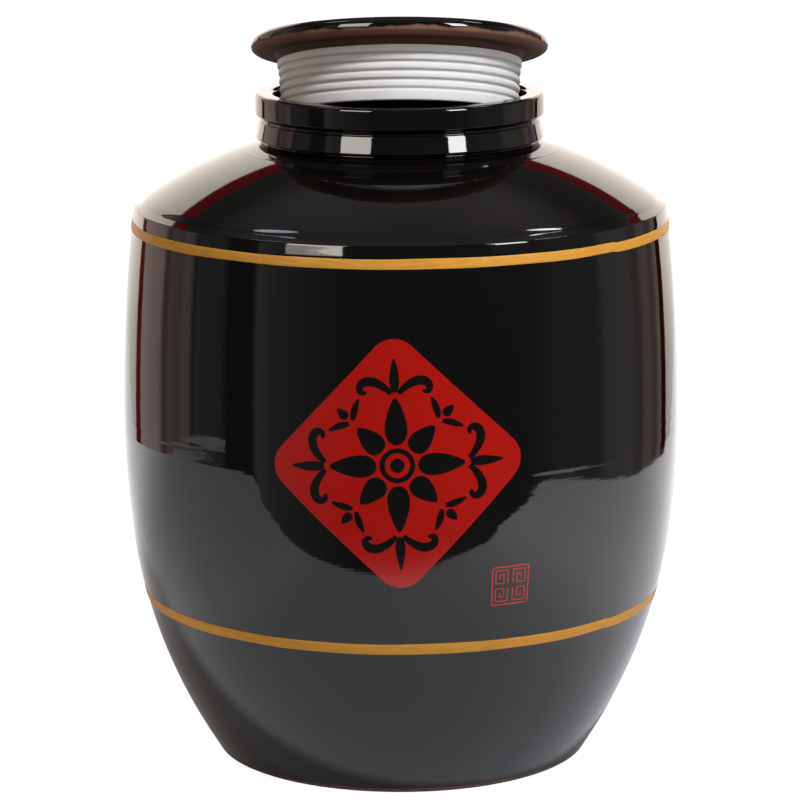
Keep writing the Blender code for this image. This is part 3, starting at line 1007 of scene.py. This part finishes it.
class WINEJAR_OT_mould_ring(bpy.types.Operator):
    """Build the ribbed silicone ring on the plug"""

    bl_idname = "winejar.mould_ring"
    bl_label = "Mould the silicone ring"

    def execute(self, context):
        jar = context.scene.wine_jar_wall
        lid = context.scene.wine_jar_lid

        def sag(radius, azimuth, height):
            """The soft skirt hangs a little uneven and draws in towards its foot."""
            depth = (-lid.ring_top - height) / lid.ring_height
            slack = 0.0002 * depth * (math.sin(2 * azimuth + 1.1) + 0.5 * math.sin(5 * azimuth))
            return radius + (slack - 0.0003 * depth) * (radius > lid.ring_inner + 0.001)

        silicone = white_silicone("white_silicone", context.scene.wine_jar_finish)
        made = turned("silicone_ring", ring_outline(lid), silicone, LID_STEPS, sag, closed=True)
        made.matrix_world = in_lid_frame(lid, jar)
        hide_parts("sealing_ring")
        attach(made, "ring")
        return {"FINISHED"}


def lamp(name, shape, azimuth, elevation, distance, width, height, power, tint, aim):
    """A soft lamp that faces the jar."""
    data = bpy.data.lights.new(name, "AREA")
    data.shape = shape
    data.size, data.size_y = width, height
    data.energy = power
    data.color = tint
    made = bpy.data.objects.new(name, data)
    bpy.context.scene.collection.objects.link(made)
    flat = distance * math.cos(elevation)
    place = Vector((flat * math.sin(azimuth), -flat * math.cos(azimuth),
                    distance * math.sin(elevation)))
    made.location = aim + place
    made.rotation_euler = (-place).to_track_quat("-Z", "Y").to_euler()
    made.visible_camera = False
    return made


# How bright the walls are that the glaze mirrors: part of a turn, from behind the jar by way of
# the viewer's left, the camera and the right, and level.
WALL_STOPS = (
    (0.12, 0.60), (0.174, 0.65), (0.179, 0.20), (0.187, 0.20), (0.190, 0.32), (0.213, 0.30),
    (0.220, 0.44), (0.232, 0.42), (0.236, 0.08), (0.243, 0.18), (0.283, 0.15), (0.291, 0.05),
    (0.326, 0.05), (0.332, 0.31), (0.355, 0.19), (0.44, 0.07), (0.65, 0.08), (0.69, 0.16),
    (0.745, 0.14), (0.757, 0.28), (0.806, 0.25), (0.816, 0.17), (0.824, 0.17), (0.832, 0.29),
    (0.846, 0.29), (0.854, 0.17), (0.862, 0.17), (0.872, 0.32), (0.886, 0.32), (0.892, 0.15),
    (0.900, 0.22))
WARM_TINT = (1.14, 0.88, 0.81)      # the walls' tint at both sides
UPPER_WALL = (0.053, 0.050, 0.049)
CEILING = (0.14, 0.13, 0.13), (0.26, 0.25, 0.25)
CURTAIN_SIDE, CURTAIN_TOP = 2.452, 0.592    # radians from the camera's side, and upper edge
BACKDROP_SIDE, BACKDROP_TOP = 2.487, 0.512
HEM_SPREAD = 0.065                  # how much wider the curtain shows near the floor


def studio_world(stage):
    """A white studio to the camera. Light and reflections see a dim room with a pale backdrop."""
    world = bpy.data.worlds.new("studio")
    bpy.context.scene.world = world
    world.use_nodes = True
    shader = Shader(world.node_tree)
    x, y, z = shader.parts(shader.node("ShaderNodeTexCoord")["Generated"])
    azimuth = shader.maths("ARCTAN2", x, 0.0 - y)
    waver = shader.noise(shader.vector(0.0, 0.0, z), 40.0, 2.0)
    turn = azimuth / (2 * math.pi) + 0.5 + 0.004 * (waver - 0.5)
    walls = shader.node("ShaderNodeValToRGB", {"stops": WALL_STOPS}, {"Fac": turn})["Color"]
    warm = shader.node("ShaderNodeVectorMath", {"operation": "MULTIPLY"},
                       {0: walls, 1: WARM_TINT})["Vector"]
    sides = 1.0 - shader.fade(turn, 0.232, 0.243) + shader.fade(turn, 0.798, 0.816)
    walls = shader.mix(sides, walls, warm)
    cloud = shader.noise(shader.vector(x, y, z), 2.2, 1.0)
    room = shader.mix(shader.fade(z, 0.30, 0.58), walls, UPPER_WALL)
    room = shader.mix(shader.fade(z, 0.66, 0.86), room, shader.mix(cloud, *CEILING))

    behind = shader.maths("ABSOLUTE", azimuth) - 0.12 * z
    height = z + 0.11 * x + 0.12 * shader.maths("ABSOLUTE", x)
    pale, red = tuple(stage.backdrop), tuple(stage.curtain)
    backdrop = shader.mix(shader.fade(z, -0.19, -0.06), pale, tuple(1.65 * part for part in pale))
    shaded = (1.0 - shader.fade(z, 0.04, 0.20)) * (0.25 + 0.60 * shader.fade(x, -0.10, 0.10))
    curtain = shader.mix(shaded, red, tuple(0.08 * part for part in red))
    hem = HEM_SPREAD * (1.0 - shader.fade(z, -0.12, 0.06))
    for side, top, tone in ((CURTAIN_SIDE - hem, CURTAIN_TOP, curtain),
                            (BACKDROP_SIDE, BACKDROP_TOP, backdrop)):
        below = 1.0 - shader.fade(height, top, top + 0.010)
        room = shader.mix(shader.fade(behind - side, 0.0, 0.006) * below, room, tone)
    lit = shader.node("ShaderNodeBackground", None,
                      {"Color": room, "Strength": stage.room_strength})["Background"]
    white = shader.node("ShaderNodeBackground", None,
                        {"Color": (1.0, 1.0, 1.0), "Strength": 1.0})["Background"]
    seen = shader.node("ShaderNodeLightPath")["Is Camera Ray"]
    both = shader.node("ShaderNodeMixShader", None, {0: seen, 1: lit, 2: white})["Shader"]
    shader.node("ShaderNodeOutputWorld", None, {"Surface": both})


# The pale floor's outline from above, as the glaze mirrors it: the main sheet, two slips of light
# on its right and one on its left.
FLOOR_PATCHES = (
    ((-0.80, -0.50), (-0.30, -0.46), (0.05, -0.49), (0.18, -0.515), (0.35, -0.535), (0.50, -0.555),
     (0.62, -0.555), (0.71, -0.52), (0.755, -0.47), (0.78, -0.42), (0.83, -0.30), (0.85, -0.18),
     (0.86, 0.05), (0.82, 0.32), (0.77, 0.46), (0.70, 0.60), (1.20, 5.00), (-1.20, 5.00),
     (-0.77, 0.63), (-0.84, 0.50), (-0.99, 0.30), (-1.08, 0.05), (-1.08, -0.16), (-0.98, -0.38)),
    ((0.73, -0.63), (0.81, -0.58), (0.88, -0.49), (0.94, -0.34), (0.97, -0.14), (0.97, 0.07),
     (0.945, -0.14), (0.90, -0.31), (0.84, -0.36), (0.80, -0.47), (0.765, -0.545)),
    ((0.84, -0.61), (0.88, -0.63), (0.96, -0.51), (1.01, -0.365), (0.925, -0.49)),
    ((-1.02, 0.36), (-1.09, 0.16), (-1.14, -0.02), (-1.16, -0.20), (-1.16, -0.40), (-1.26, -0.44),
     (-1.32, -0.30), (-1.28, -0.10), (-1.17, 0.14)))

# The lamps: name, shape, azimuth and elevation in degrees, distance, width, height, watts, tint,
# and whether reflections see it. The others light what is matt and are not mirrored.
DAYLIGHT, COOL = (1.0, 0.94, 0.87), (0.98, 0.98, 1.0)
LAMPS = (
    ("left_window", "RECTANGLE", -35, 18.3, 2.1, 0.88, 0.76, 21.6, DAYLIGHT, True),
    ("left_sill", "RECTANGLE", -35, 6.5, 2.1, 0.88, 0.12, 1.3, DAYLIGHT, True),
    ("right_window", "RECTANGLE", 46, 20.5, 2.1, 0.52, 0.885, 31.0, COOL, True),
    ("left_ceiling_lamp", "ELLIPSE", -108, 60.5, 2.4, 0.32, 0.50, 2.0, (0.80, 0.80, 1.0), True),
    ("right_ceiling_lamp", "ELLIPSE", 109, 55.0, 2.4, 0.19, 0.44, 3.4, (0.90, 0.95, 1.0), True),
    ("left_fill", "RECTANGLE", -65, 20, 2.1, 0.88, 0.88, 11.0, (1.0, 0.88, 0.78), False),
    ("right_fill", "RECTANGLE", 46, 20.5, 2.1, 0.52, 0.885, 21.0, COOL, False),
    ("right_overhead", "DISK", 30, 50, 1.1, 0.14, 0.14, 15.5, (0.92, 0.95, 1.0), False))


def pale_floor(stage):
    """A pale floor that takes shadows, lifted to white for the camera, with painted light that only
    reflections see.
    """
    material, shader = new_finish("pale_floor")
    x, along, _ = shader.parts(shader.place())
    glow = stage.near_glow + (stage.far_glow - stage.near_glow) * shader.fade(along, 0.2, 1.6)
    # Painted light: for reflections only, the floor glows brighter far behind the jar, at its left
    # edge and most of all on its right, as if lamps lit it there.
    painted_floor_light = (shader.fade(along, 0.12, 0.60) * (0.80 - 0.40 * shader.fade(x, -0.20, 0.40))
                + 0.20 * (1.0 - shader.fade(x, -0.34, -0.20)) + 0.75 * shader.fade(x, 0.12, 0.50))
    path = shader.node("ShaderNodeLightPath")
    light = path["Is Camera Ray"] * glow + path["Is Glossy Ray"] * painted_floor_light
    plain = shader.node("ShaderNodeBsdfDiffuse", None, {"Color": tuple(stage.floor)})["BSDF"]
    lifted = shader.node("ShaderNodeEmission", None, {"Color": light, "Strength": 1.0})["Emission"]
    shader.show(shader.node("ShaderNodeAddShader", None, {0: plain, 1: lifted})["Shader"])
    points, faces = join([([(x, y, stage.floor_level) for x, y in patch],
                           [tuple(range(len(patch)))]) for patch in FLOOR_PATCHES])
    return piece_from("floor", points, faces, material)


def photo_camera(stage):
    """The camera, where the photograph was taken from."""
    camera = bpy.data.cameras.new("photo_camera")
    camera.lens = stage.lens
    camera.sensor_width = 36.0
    camera.shift_x = (PHOTO_SIDE / 2 - stage.centre) / PHOTO_SIDE
    camera.clip_end = 50.0
    made = bpy.data.objects.new("photo_camera", camera)
    bpy.context.scene.collection.objects.link(made)
    ahead = Vector((0.0, math.cos(stage.camera_pitch), -math.sin(stage.camera_pitch)))
    right = Vector((1.0, 0.0, 0.0))
    up = right.cross(ahead)
    roll = stage.camera_roll
    right, up = (right * math.cos(roll) - up * math.sin(roll),
                 up * math.cos(roll) + right * math.sin(roll))
    made.matrix_world = (Matrix.Translation((0.0, -stage.camera_distance, stage.camera_height))
                         @ Matrix((right, up, -ahead)).transposed().to_4x4())
    return made


class WINEJAR_OT_set_stage(bpy.types.Operator):
    """Place the floor, the lamps, the studio and the camera"""

    bl_idname = "winejar.set_stage"
    bl_label = "Set the stage"

    def execute(self, context):
        stage = context.scene.wine_jar_stage
        floor = pale_floor(stage)
        studio_world(stage)
        aim = Vector((0.0, 0.0, stage.neck_height))
        for name, shape, azimuth, elevation, distance, width, height, watts, tint, glossy in LAMPS:
            made = lamp(name, shape, math.radians(azimuth), math.radians(elevation), distance,
                        width, height, watts, tint, aim)
            made.visible_glossy = glossy
            made.visible_diffuse = not glossy
        context.scene.camera = photo_camera(stage)
        context.scene.view_settings.view_transform = "Standard"
        return {"FINISHED"}


class VIEW3D_PT_wine_jar(bpy.types.Panel):
    """Sizes, colours and steps of the wine jar"""

    bl_label = "Wine jar"
    bl_space_type = "VIEW_3D"
    bl_region_type = "UI"
    bl_category = "Wine jar"

    def draw(self, context):
        for operator in OPERATORS:
            self.layout.operator(operator.bl_idname)
        for name in GROUPS:
            settings = getattr(context.scene, name)
            box = self.layout.box()
            box.label(text=settings.__doc__)
            for key in settings.__annotations__:
                box.prop(settings, key)


GROUPS = {"wine_jar_wall": WineJarWall, "wine_jar_lid": WineJarLid,
          "wine_jar_enamel": WineJarEnamel, "wine_jar_finish": WineJarFinish,
          "wine_jar_stage": WineJarStage}
OPERATORS = (WINEJAR_OT_throw_jar, WINEJAR_OT_lay_bands, WINEJAR_OT_print_diamond,
             WINEJAR_OT_print_square, WINEJAR_OT_throw_lid, WINEJAR_OT_mould_ring,
             WINEJAR_OT_set_stage)


def register():
    """Register the settings, the operators and the panel."""
    for name, group in GROUPS.items():
        bpy.utils.register_class(group)
        setattr(bpy.types.Scene, name, bpy.props.PointerProperty(type=group))
    for operator in OPERATORS:
        bpy.utils.register_class(operator)
    bpy.utils.register_class(VIEW3D_PT_wine_jar)


def unregister():
    """Remove the panel, the operators and the settings."""
    bpy.utils.unregister_class(VIEW3D_PT_wine_jar)
    for operator in reversed(OPERATORS):
        bpy.utils.unregister_class(operator)
    for name, group in reversed(list(GROUPS.items())):
        delattr(bpy.types.Scene, name)
        bpy.utils.unregister_class(group)


def main():
    """Make every piece in order."""
    register()
    for operator in OPERATORS:
        family, step = operator.bl_idname.split(".")
        getattr(getattr(bpy.ops, family), step)()


if __name__ == "__main__":
    main()
